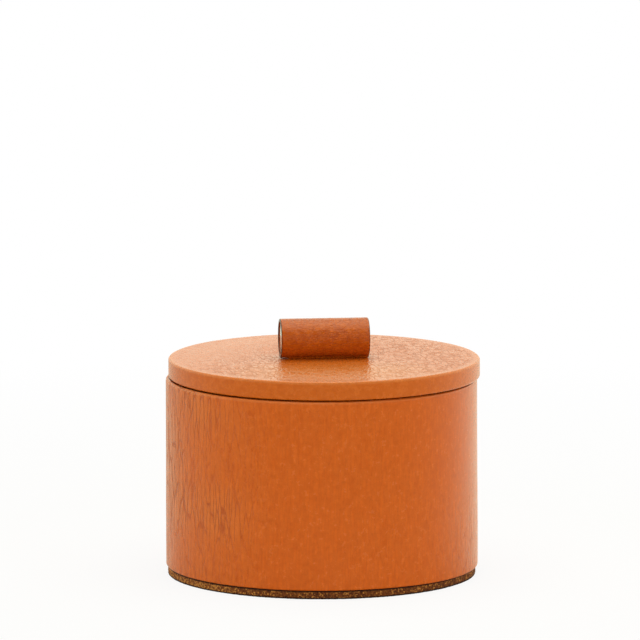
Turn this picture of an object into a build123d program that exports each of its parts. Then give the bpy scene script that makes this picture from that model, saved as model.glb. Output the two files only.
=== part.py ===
from build123d import *
import math
import os

# Round leather box with a lift-off lid and a rolled leather handle.
# Millimetres, +Z up. The origin is the centre of the underside, -Y is the front and the handle lies
# along X. A curved face of one piece stays a glue line away from the curved face that it is glued to.

# Box
body_diameter = 140.0  # over the leather
body_height = 85.1  # leather, from its foot to its rim
tube_wall = 5.0
floor_board = 5.0
leather = 1.1  # thickness on the box and the lid
suede = 0.8  # thickness of every lining, and of the leather turned in beside it
turn_in = 10.0  # leather turned down inside the mouth
turn_under = 12.0  # leather turned under the box and under the lid
rim_round = 1.0  # outer edge of the rim
mouth_round = 0.6  # inner edge of the rim
foot_round = 0.8
seam_gap = 0.2  # between the two butted ends of a leather strip
glue_line = 0.1

# Pad under the box
pad_thickness = 3.9
pad_inset = 1.0  # the pad's edge lies this far inside the leather's
pad_chamfer = 0.25

# Padded floor, which drops in loose
cushion_clearance = 0.4
cushion_card = 1.5
cushion_edge = 8.0  # height at its edge
cushion_crown = 3.0  # further rise to its middle
cushion_shoulder = 3.0  # rounding between its side and its crown
cushion_turn = 10.0  # suede turned under the card

# Lid
lid_board_thickness = 6.3
lid_top_round = 1.2
lid_under_round = 0.6
rest_gap = 0.3  # between the lid's leather and the rim
plug_depth = 6.0  # below the lid's underside
plug_clearance = 1.5  # all round, when the lid is centred
plug_round = 1.0
slide_gap = 0.3  # left between the plug and the wall on the side that the lid has slid to

# Handle
handle_diameter = 17.6
handle_length = 40.0
handle_leather_thickness = 1.4
handle_end_round = 0.6
handle_gap = 0.2  # between the roll and the lid
core_recess = 0.5  # the metal's ends lie this far inside the leather's
core_chamfer = 0.3

# Screws that hold the handle
screw_inset = 8.0  # from the handle's end to the screw's axis
screw_diameter = 4.0
screw_head_diameter = 8.0
screw_head_height = 2.5
screw_head_round = 0.6
screw_length = 14.0  # under the head
socket_width = 2.5  # across the flats
socket_depth = 1.3
washer_diameter = 9.0
washer_thickness = 0.8
thread_clearance = 0.05
screw_clearance = 0.2  # round the shank, in the boards and the leather
head_clearance = 0.5  # round the washer in its recess
head_sink = 0.3  # from the head's face to the board's
tap_spare = 1.0  # depth of the tapped hole past the screw's tip

# Levels
body_foot = pad_thickness
body_rim = body_foot + body_height
tube_foot = body_foot + leather
tube_top = body_rim - leather
floor_top = tube_foot + floor_board
lid_foot = body_rim + rest_gap
board_foot = lid_foot + leather
board_top = board_foot + lid_board_thickness
lid_top = board_top + leather

# Radii
body_radius = body_diameter / 2
tube_outer = body_radius - leather - glue_line
tube_inner = tube_outer - tube_wall
wall_back = tube_inner - glue_line  # back of the lining and of the leather turned in
mouth_radius = wall_back - suede
turn_radius = body_radius - turn_under
infill_radius = turn_radius - glue_line
board_radius = body_radius - leather - glue_line
plug_outer = mouth_radius - plug_clearance
plug_board_radius = plug_outer - suede - glue_line
seam_angle = math.degrees(seam_gap / body_radius)

# The lid lies to one side, as far as its plug lets it
lid_x = plug_clearance - slide_gap
lid_axis = Axis((lid_x, 0, 0), (0, 0, 1))
lid_section = Plane(origin=(lid_x, 0, 0), x_dir=(1, 0, 0), z_dir=(0, -1, 0))

# Handle and screws
handle_radius = handle_diameter / 2
core_radius = handle_radius - handle_leather_thickness - glue_line
roll_bore = handle_radius - handle_leather_thickness
handle_foot = lid_top + handle_gap
handle_z = handle_foot + handle_radius
handle_start = Plane(origin=(lid_x - handle_length / 2, 0, handle_z), x_dir=(0, 1, 0), z_dir=(1, 0, 0))
screw_offset = handle_length / 2 - screw_inset
screw_places = [(lid_x - screw_offset, 0), (lid_x + screw_offset, 0)]
screw_hole = screw_diameter / 2 + screw_clearance
head_foot = board_foot + head_sink
washer_foot = head_foot + screw_head_height
recess_top = washer_foot + washer_thickness
recess_radius = washer_diameter / 2 + head_clearance
screw_tip = washer_foot + screw_length
tap_top = screw_tip + tap_spare
tap_radius = screw_diameter / 2 + thread_clearance


# Fibreboard tube, the wall of the box
with BuildPart() as body_tube:
    with BuildSketch(Plane.XY.offset(tube_foot)):
        Circle(tube_outer)
        Circle(tube_inner, mode=Mode.SUBTRACT)
    extrude(amount=tube_top - tube_foot)
body_tube.part.label = "body_tube"

# Board disc glued into the foot of the tube
with BuildPart() as body_floor:
    with BuildSketch(Plane.XY.offset(tube_foot)):
        Circle(tube_inner - glue_line)
    extrude(amount=floor_board)
body_floor.part.label = "body_floor"

# Leather strip round the tube, turned down inside the mouth and in under the foot. Its two ends butt
# at the back.
with BuildPart() as body_leather:
    with BuildSketch(Plane.YZ) as section:
        with BuildLine():
            Polyline(
                (turn_radius, body_foot),
                (body_radius, body_foot),
                (body_radius, body_rim),
                (mouth_radius, body_rim),
                (mouth_radius, body_rim - turn_in),
                (wall_back, body_rim - turn_in),
                (wall_back, tube_top),
                (tube_outer + glue_line, tube_top),
                (tube_outer + glue_line, tube_foot),
                (turn_radius, tube_foot),
                close=True,
            )
        make_face()
        rim = section.vertices().group_by(Axis.Y)[-1].sort_by(Axis.X)
        foot = section.vertices().group_by(Axis.Y)[0].sort_by(Axis.X)
        fillet(rim[-1], rim_round)
        fillet(rim[0], mouth_round)
        fillet(foot[-1], foot_round)
    revolve(axis=Axis.Z, revolution_arc=360 - seam_angle)
body_leather.part.label = "body_leather"

# Card disc that levels the leather turned under the box
with BuildPart() as base_infill:
    with BuildSketch(Plane.XY.offset(body_foot)):
        Circle(infill_radius)
    extrude(amount=leather)
base_infill.part.label = "base_infill"

# Granular pad that the box stands on
with BuildPart() as base_pad:
    with BuildSketch():
        Circle(body_radius - pad_inset)
    extrude(amount=pad_thickness)
    chamfer(base_pad.edges().group_by(Axis.Z)[0], pad_chamfer)
base_pad.part.label = "base_pad"

# Suede round the inside wall, from the floor up to the leather turned in
with BuildPart() as wall_lining:
    with BuildSketch(Plane.XY.offset(floor_top)):
        Circle(wall_back)
        Circle(mouth_radius, mode=Mode.SUBTRACT)
    extrude(amount=body_rim - turn_in - floor_top)
wall_lining.part.label = "wall_lining"

# The padded floor's cover, card and foam share a crown about one centre on the axis
cushion_radius = mouth_radius - cushion_clearance
crown_radius = (cushion_radius**2 + cushion_crown**2) / (2 * cushion_crown)
crown_centre = floor_top + cushion_edge + cushion_crown - crown_radius
card_foot = floor_top + suede
card_radius = cushion_radius - suede - glue_line


def crown_height(radius, inset):
    """Height of the crown at a radius, a given depth under the cushion's surface."""
    return crown_centre + math.sqrt((crown_radius - inset) ** 2 - radius**2)


# Suede over the foam, turned under the card
with BuildPart() as cushion_suede:
    with BuildSketch(Plane.XZ) as section:
        with BuildLine():
            Line((0, floor_top), (cushion_radius, floor_top))
            Line((cushion_radius, floor_top), (cushion_radius, crown_height(cushion_radius, 0)))
            ThreePointArc(
                (cushion_radius, crown_height(cushion_radius, 0)),
                (cushion_radius / 2, crown_height(cushion_radius / 2, 0)),
                (0, crown_height(0, 0)),
            )
            Line((0, crown_height(0, 0)), (0, floor_top))
        make_face()
        edge = section.vertices().group_by(Axis.X)[-1].sort_by(Axis.Y)
        fillet(edge[-1], cushion_shoulder)
        fillet(edge[0], suede)
    revolve(axis=Axis.Z)
    inner_radius = cushion_radius - suede
    with BuildSketch(Plane.XZ) as section:
        with BuildLine():
            Line((0, card_foot), (inner_radius, card_foot))
            Line((inner_radius, card_foot), (inner_radius, crown_height(inner_radius, suede)))
            ThreePointArc(
                (inner_radius, crown_height(inner_radius, suede)),
                (inner_radius / 2, crown_height(inner_radius / 2, suede)),
                (0, crown_height(0, suede)),
            )
            Line((0, crown_height(0, suede)), (0, card_foot))
        make_face()
        edge = section.vertices().group_by(Axis.X)[-1].sort_by(Axis.Y)
        fillet(edge[-1], cushion_shoulder - suede)
    revolve(axis=Axis.Z, mode=Mode.SUBTRACT)
    with BuildSketch(Plane.XY.offset(floor_top)):
        Circle(cushion_radius - cushion_turn)
    extrude(amount=suede, mode=Mode.SUBTRACT)
cushion_suede.part.label = "cushion_suede"

# Card disc, with the suede's edge turned under it
with BuildPart() as cushion_card_disc:
    with BuildSketch(Plane.XY.offset(card_foot)):
        Circle(card_radius)
    extrude(amount=cushion_card)
cushion_card_disc.part.label = "cushion_card"

# Foam on the card, crowned like its cover
with BuildPart() as cushion_foam:
    foam_foot = card_foot + cushion_card
    foam_inset = suede + glue_line
    with BuildSketch(Plane.XZ) as section:
        with BuildLine():
            Line((0, foam_foot), (card_radius, foam_foot))
            Line((card_radius, foam_foot), (card_radius, crown_height(card_radius, foam_inset)))
            ThreePointArc(
                (card_radius, crown_height(card_radius, foam_inset)),
                (card_radius / 2, crown_height(card_radius / 2, foam_inset)),
                (0, crown_height(0, foam_inset)),
            )
            Line((0, crown_height(0, foam_inset)), (0, foam_foot))
        make_face()
        edge = section.vertices().group_by(Axis.X)[-1].sort_by(Axis.Y)
        fillet(edge[-1], cushion_shoulder - foam_inset)
    revolve(axis=Axis.Z)
cushion_foam.part.label = "cushion_foam"

# Board disc of the lid, with recesses from below for the handle's screws
with BuildPart() as lid_board:
    with BuildSketch(Plane.XY.offset(board_foot)):
        with Locations((lid_x, 0)):
            Circle(board_radius)
    extrude(amount=lid_board_thickness)
    for x, y in screw_places:
        with Locations(Plane(origin=(x, y, board_foot), z_dir=(0, 0, -1))):
            CounterBoreHole(
                radius=screw_hole,
                counter_bore_radius=recess_radius,
                counter_bore_depth=recess_top - board_foot,
                depth=lid_board_thickness,
            )
lid_board.part.label = "lid_board"

# Leather over the lid's top and edge, turned under it
with BuildPart() as lid_leather:
    with BuildSketch(lid_section) as section:
        with BuildLine():
            Polyline(
                (0, board_top),
                (board_radius + glue_line, board_top),
                (board_radius + glue_line, board_foot),
                (turn_radius, board_foot),
                (turn_radius, lid_foot),
                (body_radius, lid_foot),
                (body_radius, lid_top),
                (0, lid_top),
                close=True,
            )
        make_face()
        edge = section.vertices().group_by(Axis.X)[-1].sort_by(Axis.Y)
        fillet(edge[-1], lid_top_round)
        fillet(edge[0], lid_under_round)
    revolve(axis=lid_axis)
    with BuildSketch(Plane.XY.offset(board_top)):
        with Locations(*screw_places):
            Circle(screw_hole)
    extrude(amount=leather, mode=Mode.SUBTRACT)
lid_leather.part.label = "lid_leather"

# Card disc that levels the leather turned under the lid
with BuildPart() as lid_infill:
    with BuildSketch(Plane.XY.offset(lid_foot)):
        with Locations((lid_x, 0)):
            Circle(infill_radius)
    extrude(amount=leather)
lid_infill.part.label = "lid_infill"

# Board disc that drops into the mouth and keeps the lid in place
with BuildPart() as lid_plug:
    with BuildSketch(Plane.XY.offset(lid_foot - plug_depth + suede)):
        with Locations((lid_x, 0)):
            Circle(plug_board_radius)
    extrude(amount=plug_depth - suede)
lid_plug.part.label = "lid_plug"

# Suede over the plug's face and edge
with BuildPart() as plug_suede:
    with BuildSketch(lid_section) as section:
        with BuildLine():
            Polyline(
                (0, lid_foot - plug_depth),
                (plug_outer, lid_foot - plug_depth),
                (plug_outer, lid_foot),
                (plug_outer - suede, lid_foot),
                (plug_outer - suede, lid_foot - plug_depth + suede),
                (0, lid_foot - plug_depth + suede),
                close=True,
            )
        make_face()
        edge = section.vertices().group_by(Axis.X)[-1].sort_by(Axis.Y)
        fillet(edge[0], plug_round)
    revolve(axis=lid_axis)
plug_suede.part.label = "plug_suede"

# Polished metal rod, with a tapped hole in its underside for each screw
with BuildPart() as handle_core:
    with BuildSketch(handle_start.offset(core_recess)):
        Circle(core_radius)
    extrude(amount=handle_length - 2 * core_recess)
    ends = handle_core.edges().filter_by(GeomType.CIRCLE)
    chamfer(ends, core_chamfer)
    with BuildSketch(Plane.XY.offset(handle_foot)):
        with Locations(*screw_places):
            Circle(tap_radius)
    extrude(amount=tap_top - handle_foot, mode=Mode.SUBTRACT)
handle_core.part.label = "handle_core"

# Leather rolled round the rod, its edges butted along the underside, over the screws
with BuildPart() as handle_leather:
    with BuildSketch(handle_start):
        Circle(handle_radius)
    extrude(amount=handle_length)
    fillet(handle_leather.edges().filter_by(GeomType.CIRCLE), handle_end_round)
    with BuildSketch(handle_start):
        Circle(roll_bore)
    extrude(amount=handle_length, mode=Mode.SUBTRACT)
    with BuildSketch(Plane.XY.offset(handle_foot)):
        with Locations((lid_x, 0)):
            Rectangle(handle_length, seam_gap)
        with Locations(*screw_places):
            Circle(screw_hole)
    extrude(amount=handle_radius, mode=Mode.SUBTRACT)
handle_leather.part.label = "handle_leather"

# Socket screws, up through the board and the leather into the rod
with BuildPart() as handle_screws:
    with BuildSketch(Plane.XY.offset(head_foot)):
        with Locations(*screw_places):
            Circle(screw_head_diameter / 2)
    extrude(amount=screw_head_height)
    fillet(handle_screws.edges().group_by(Axis.Z)[0], screw_head_round)
    with BuildSketch(Plane.XY.offset(washer_foot)):
        with Locations(*screw_places):
            Circle(screw_diameter / 2)
    extrude(amount=screw_length)
    with BuildSketch(Plane.XY.offset(head_foot)):
        with Locations(*screw_places):
            RegularPolygon(socket_width / 2, 6, major_radius=False)
    extrude(amount=socket_depth, mode=Mode.SUBTRACT)
handle_screws.part.label = "handle_screws"

# Plain washers between the heads and the board
with BuildPart() as handle_washers:
    with BuildSketch(Plane.XY.offset(washer_foot)):
        with Locations(*screw_places):
            Circle(washer_diameter / 2)
            Circle(screw_hole, mode=Mode.SUBTRACT)
    extrude(amount=washer_thickness)
handle_washers.part.label = "handle_washers"

pieces = [
    body_tube,
    body_floor,
    body_leather,
    base_infill,
    base_pad,
    wall_lining,
    cushion_card_disc,
    cushion_foam,
    cushion_suede,
    lid_board,
    lid_leather,
    lid_infill,
    lid_plug,
    plug_suede,
    handle_core,
    handle_leather,
    handle_screws,
    handle_washers,
]

os.makedirs("parts", exist_ok=True)
for piece in pieces:
    export_step(piece.part, f"parts/{piece.part.label}.step")
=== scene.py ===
"""Looks of a round leather jewelry box with a lift-off lid and a rolled leather handle.

Metres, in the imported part's own frame: +Z is up, the front faces -Y and the handle lies along X.
"""

import logging
import math
from collections.abc import Callable, Sequence
from dataclasses import dataclass, field, replace
from enum import Enum
from typing import Any

import bmesh
import bpy
import numpy as np
from mathutils import Matrix, Vector, noise


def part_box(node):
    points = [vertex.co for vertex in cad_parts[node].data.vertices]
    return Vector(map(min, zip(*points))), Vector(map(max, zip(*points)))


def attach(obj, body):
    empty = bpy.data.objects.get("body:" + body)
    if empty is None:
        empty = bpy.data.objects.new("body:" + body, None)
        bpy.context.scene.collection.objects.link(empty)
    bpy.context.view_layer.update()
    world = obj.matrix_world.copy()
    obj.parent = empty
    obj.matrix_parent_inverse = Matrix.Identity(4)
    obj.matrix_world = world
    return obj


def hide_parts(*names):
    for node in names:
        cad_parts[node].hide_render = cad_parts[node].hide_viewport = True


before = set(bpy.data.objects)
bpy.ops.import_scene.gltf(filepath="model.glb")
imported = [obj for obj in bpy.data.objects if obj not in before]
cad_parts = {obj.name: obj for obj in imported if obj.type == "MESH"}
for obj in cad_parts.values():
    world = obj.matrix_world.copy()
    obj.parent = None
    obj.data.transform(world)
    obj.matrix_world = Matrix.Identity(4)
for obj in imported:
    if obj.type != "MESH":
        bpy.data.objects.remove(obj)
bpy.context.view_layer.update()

MM = 0.001
Relief = Callable[[np.ndarray, np.ndarray], np.ndarray]
Tree = bpy.types.NodeTree
Node = bpy.types.Node
Socket = bpy.types.NodeSocket
Outputs = bpy.types.bpy_prop_collection
Triple = tuple[float, float, float]
log = logging.getLogger("leather_box")


# Colours and nodes


def linear(hex_colour: str) -> tuple[float, float, float, float]:
    """Turns an sRGB colour to the linear colour that a shader takes.

    Args:
        hex_colour: The colour, such as "#c8641e".

    Returns:
        Its linear red, green and blue, and an alpha of 1.
    """
    parts = [int(hex_colour[i : i + 2], 16) / 255 for i in (1, 3, 5)]
    made = [p / 12.92 if p <= 0.04045 else ((p + 0.055) / 1.055) ** 2.4 for p in parts]
    return made[0], made[1], made[2], 1.0


def per_metre(millimetres: float) -> float:
    """Gives a texture's scale, from the real size in millimetres of what repeats."""
    return 1 / (millimetres * MM)


def connect(tree: Tree, node: Node, inputs: dict[str | int, Any]) -> None:
    """Feeds a node.

    Args:
        tree: The node tree that it is in.
        node: The node.
        inputs: For each input, a value or the output that is linked to it.
    """
    for key, value in inputs.items():
        if isinstance(value, Socket):
            tree.links.new(value, node.inputs[key])
        else:
            node.inputs[key].default_value = value


def add_node(
    tree: Tree, kind: str, settings: dict[str, Any] | None = None, inputs: dict[str | int, Any] | None = None
) -> Outputs:
    """Adds one node with its settings and links.

    Args:
        tree: The node tree that it goes into.
        kind: Blender's name for the node's type, after "ShaderNode".
        settings: Values of the node's own properties.
        inputs: For each input, a value or the output that is linked to it.

    Returns:
        The new node's outputs.
    """
    made = tree.nodes.new("ShaderNode" + kind)
    for name, value in (settings or {}).items():
        setattr(made, name, value)
    connect(tree, made, inputs or {})
    return made.outputs


# Settings that many nodes share
SMOOTH = {"interpolation_type": "SMOOTHSTEP"}
MULTIPLY = {"operation": "MULTIPLY"}
MULTIPLY_ADD = {"operation": "MULTIPLY_ADD"}
LENGTH = {"operation": "LENGTH"}
# A mix has inputs of the same name for each kind of value, so they go by number
MIX_COLOUR = {"data_type": "RGBA"}
FACTOR, COLOUR_A, COLOUR_B, COLOUR_OUT = 0, 6, 7, 2
VALUE_A, VALUE_B = 2, 3


def from_axis(tree: Tree, place: Socket, middle: float = 0.0) -> Socket:
    """Says how far each point is from an upright axis.

    Args:
        tree: The material's nodes.
        place: Where each point is, in metres.
        middle: The axis's place along X.

    Returns:
        The distance, in metres.
    """
    across = {0: place, 1: (1.0, 1.0, 0.0), 2: (-middle, 0.0, 0.0)}
    flat = add_node(tree, "VectorMath", MULTIPLY_ADD, across)["Vector"]
    return add_node(tree, "VectorMath", LENGTH, {0: flat})["Value"]


# Finishes


@dataclass(frozen=True)
class Finish:
    """A surface's material. Each kind of finish paints its own nodes."""

    label: str

    def material(self) -> bpy.types.Material:
        """Makes the material.

        Returns:
            The material, with its nodes in place.
        """
        made = bpy.data.materials.new(self.label)
        made.use_nodes = True
        tree = made.node_tree
        self.paint(tree, tree.nodes["Principled BSDF"])
        return made

    def paint(self, tree: Tree, shader: Node) -> None:
        """Adds the finish's nodes to its tree.

        Args:
            tree: The material's nodes.
            shader: The surface shader that they feed.
        """
        raise NotImplementedError


class Lie(Enum):
    """How many times longer than wide the hide's grain and creases are, along X, Y and Z."""

    UP_THE_WALL = (1.0, 1.0, 8.0)
    ACROSS_THE_LID = (1.0, 3.0, 1.0)
    ALONG_THE_ROLL = (3.0, 1.0, 1.0)


@dataclass(frozen=True)
class Marks:
    """Where a hide differs from its plain dyed face. Each is a share from 0 to 1.

    Attributes:
        creased: Where it was bent and creased.
        grained: Where it is pebbled.
        wear_and_highlight: Where painted highlights and painted light lie: on edges, on crease ridges, in
            front of the handle.
        cut: Where its cut edge shows, and where painted shade lies on its face under the lid's edge.
    """

    creased: Socket
    grained: Socket | float = 1.0
    wear_and_highlight: Socket | float = 0.0
    cut: Socket | float = 0.0


@dataclass(frozen=True)
class Cowhide(Finish):
    """Full-grain cowhide, drum dyed tan orange and lightly waxed.

    It gives the eye a low sheen that turns pale at a glancing angle, broken up by a pebbled grain and by thin
    creases, with painted shade in them and in the grain's hollows. Painted highlights pale its edges and
    ridges.
    """

    lie: Lie
    colour: str = "#cb5b0d"
    pale: str = "#d66512"
    # Colour of the painted shade in the creases and grain hollows, and of the pores' specks
    shade_and_speck_colour: str = "#9c4206"
    # Colour of the cut edges, and of the painted shade on the rim under the lid
    cut_and_shade_colour: str = "#4a2008"
    # Colour of the painted highlights
    highlight_colour: str = "#e69a52"
    roughness: float = 0.24
    roughness_spread: float = 0.05
    # Typical leather is 1.45. This is matched to how little the wall shines when seen straight on.
    ior: float = 1.4
    grain_mm: float = 1.5
    grain_depth: float = 0.02 * MM
    grain_edge: float = 0.3
    # Share of painted shade in the grain's hollows
    grain_shade: float = 0.15
    crease_mm: float = 2.3
    crease_depth: float = 0.2 * MM
    crease_width: float = 0.09
    # Share of painted shade in the creases
    crease_shade: float = 0.5
    # The hide is creased this much at most, and the smoothest patches are creased this share of it
    creasing: float = 1.0
    least_creasing: float = 0.4
    crease_patch_mm: float = 45
    # Share of painted highlight on the crease ridges
    ridge_highlight: float = 0.2
    # The grain and the creases wander this far, in waves of this size
    wander: float = 0.9 * MM
    wander_mm: float = 4
    speck_stain: float = 0.22
    # The wax is missing in the hollows, which are this much rougher
    grain_roughness: float = 0.0
    crease_roughness: float = 0.16
    mottle_mm: float = 2.5
    # Hair pores are 0.1 mm across, too fine to show, so they are drawn as coarse as this
    pore_mm: float = 0.8
    pore_depth: float = 0.006 * MM

    def patches(self, tree: Tree, place: Socket) -> Socket:
        """Says where the hide is creased, in wide patches.

        Args:
            tree: The material's nodes.
            place: Where each point is, in metres.

        Returns:
            A value from 0, smooth, to 1, strongly creased.
        """
        wide = {"Vector": place, "Scale": per_metre(self.crease_patch_mm), "Detail": 1.0}
        share = {"Value": add_node(tree, "TexNoise", inputs=wide)["Fac"], "From Min": 0.4, "From Max": 0.6}
        least = self.least_creasing * self.creasing
        return add_node(tree, "MapRange", inputs=share | {"To Min": least, "To Max": self.creasing})["Result"]

    def marks(self, tree: Tree, place: Socket) -> Marks:
        """Says where the hide is marked: creased in patches, pebbled all over, with no painted highlight, cut
        edge or painted rim shade.
        """
        return Marks(self.patches(tree, place))

    def network(self, tree: Tree, laid: Socket, cell_mm: float, width: float) -> Socket:
        """Draws the lines between uneven cells, as grain and creases are.

        Args:
            tree: The material's nodes.
            laid: Where each point is, drawn together along the hide's lie.
            cell_mm: Size of the cells.
            width: Width of the lines, as a share of a cell.

        Returns:
            A value from 0, on the cells, to 1, along the lines.
        """
        cells = {"Vector": laid, "Scale": per_metre(cell_mm)}
        distance = add_node(tree, "TexVoronoi", {"feature": "DISTANCE_TO_EDGE"}, cells)["Distance"]
        lines = {"Value": distance, "From Max": width, "To Min": 1.0, "To Max": 0.0}
        return add_node(tree, "MapRange", SMOOTH, lines)["Result"]

    def paint(self, tree: Tree, shader: Node) -> None:
        """Adds grain, creases, pores and mottling, with painted shade and painted highlights.

        Args:
            tree: The material's nodes.
            shader: The surface shader that they feed.
        """
        place = add_node(tree, "TexCoord")["Object"]
        marks = self.marks(tree, place)
        wavy = {"Vector": place, "Scale": per_metre(self.wander_mm), "Detail": 3.0}
        wander = add_node(tree, "TexNoise", inputs=wavy)["Color"]
        warp = {0: wander, 1: (self.wander,) * 3, 2: place}
        warped = add_node(tree, "VectorMath", MULTIPLY_ADD, warp)["Vector"]
        laid = add_node(tree, "VectorMath", {"operation": "DIVIDE"}, {0: warped, 1: self.lie.value})["Vector"]

        hollow = self.network(tree, laid, self.grain_mm, self.grain_edge)
        line = self.network(tree, laid, self.crease_mm, self.crease_width)
        grain = add_node(tree, "Math", MULTIPLY, {0: hollow, 1: marks.grained})[0]
        crease = add_node(tree, "Math", MULTIPLY, {0: line, 1: marks.creased})[0]
        ridge = add_node(tree, "Math", {"operation": "SUBTRACT"}, {0: marks.creased, 1: crease})[0]
        cloudy = {"Vector": warped, "Scale": per_metre(self.mottle_mm), "Detail": 4.0, "Roughness": 0.65}
        mottle = add_node(tree, "TexNoise", inputs=cloudy)["Fac"]
        fine = {"Vector": place, "Scale": per_metre(self.pore_mm), "Detail": 2.0}
        pores = add_node(tree, "TexNoise", inputs=fine)["Fac"]

        span = {"Value": mottle, "From Min": 0.35, "From Max": 0.65}
        clouds = add_node(tree, "MapRange", inputs=span)["Result"]
        dots = {"Value": pores, "From Min": 0.55, "From Max": 0.75, "To Max": self.speck_stain}
        specks = add_node(tree, "MapRange", inputs=dots)["Result"]
        # Painted shade: the grain's hollows and the creases are darkened where shade falls, besides the
        # pores' specks
        valleys = add_node(tree, "Math", MULTIPLY_ADD, {0: grain, 1: self.grain_shade, 2: specks})[0]
        dark = add_node(tree, "Math", MULTIPLY_ADD, {0: crease, 1: self.crease_shade, 2: valleys})[0]
        # Painted highlight: the crease ridges and the marked edges are made paler
        painted_highlight = add_node(tree, "Math", MULTIPLY_ADD, {0: ridge, 1: self.ridge_highlight, 2: marks.wear_and_highlight})[0]
        colour = linear(self.colour)
        coats = (
            (clouds, self.pale),
            (dark, self.shade_and_speck_colour),
            (painted_highlight, self.highlight_colour),
            # The cut edges, and the painted shade on the rim under the lid
            (marks.cut, self.cut_and_shade_colour),
        )
        for share, over in coats:
            coat = {FACTOR: share, COLOUR_A: colour, COLOUR_B: linear(over)}
            colour = add_node(tree, "Mix", MIX_COLOUR, coat)[COLOUR_OUT]

        low, high = self.roughness - self.roughness_spread, self.roughness + self.roughness_spread
        waxed = {"Value": mottle, "From Min": 0.3, "From Max": 0.7, "To Min": low, "To Max": high}
        dull = add_node(tree, "MapRange", inputs=waxed)["Result"]
        unwaxed = add_node(tree, "Math", MULTIPLY_ADD, {0: grain, 1: self.grain_roughness, 2: dull})[0]
        rough = add_node(tree, "Math", MULTIPLY_ADD, {0: crease, 1: self.crease_roughness, 2: unwaxed})[0]

        # Each depth is a share of the deepest crease
        grain_share = self.grain_depth / self.crease_depth
        pore_share = self.pore_depth / self.crease_depth
        folded = add_node(tree, "Math", MULTIPLY_ADD, {0: grain, 1: grain_share, 2: crease})[0]
        depth = add_node(tree, "Math", MULTIPLY_ADD, {0: pores, 1: pore_share, 2: folded})[0]
        relief = {"Distance": self.crease_depth, "Height": depth}
        bump = add_node(tree, "Bump", {"invert": True}, relief)["Normal"]
        connect(tree, shader, {"Base Color": colour, "Roughness": rough, "IOR": self.ior, "Normal": bump})


@dataclass(frozen=True)
class Suede(Finish):
    """Brushed pig suede. It gives the eye a matt nap, with light and dark patches where it was stroked."""

    colour: str = "#ad8159"
    stroked: str = "#9a6f49"
    nap_mm: float = 0.5
    patch_mm: float = 16.0
    nap_depth: float = 0.12 * MM
    # How much of the stroking follows the nap, beside the patches
    nap_share: float = 0.5
    sheen: float = 0.25
    sheen_roughness: float = 0.6
    specular: float = 0.2

    def paint(self, tree: Tree, shader: Node) -> None:
        """Adds nap and stroked patches.

        Args:
            tree: The material's nodes.
            shader: The surface shader that they feed.
        """
        place = add_node(tree, "TexCoord")["Object"]
        wide = {"Vector": place, "Scale": per_metre(self.patch_mm), "Detail": 3.0, "Distortion": 0.6}
        patches = add_node(tree, "TexNoise", inputs=wide)["Fac"]
        fine = {"Vector": place, "Scale": per_metre(self.nap_mm), "Detail": 2.0}
        nap = add_node(tree, "TexNoise", inputs=fine)["Fac"]
        both = add_node(tree, "Math", MULTIPLY_ADD, {0: nap, 1: self.nap_share, 2: patches})[0]
        span = {"Value": both, "From Min": 0.6, "From Max": 0.9}
        stroke = add_node(tree, "MapRange", inputs=span)["Result"]
        tones = {FACTOR: stroke, COLOUR_A: linear(self.colour), COLOUR_B: linear(self.stroked)}
        colour = add_node(tree, "Mix", MIX_COLOUR, tones)[COLOUR_OUT]
        dull = add_node(tree, "MapRange", inputs={"Value": nap, "To Min": 0.85, "To Max": 1.0})["Result"]
        bump = add_node(tree, "Bump", inputs={"Distance": self.nap_depth, "Height": nap})["Normal"]
        connect(tree, shader, {"Base Color": colour, "Roughness": dull, "Normal": bump})
        soft = {"Sheen Weight": self.sheen, "Sheen Roughness": self.sheen_roughness}
        connect(tree, shader, soft | {"Specular IOR Level": self.specular})


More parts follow.
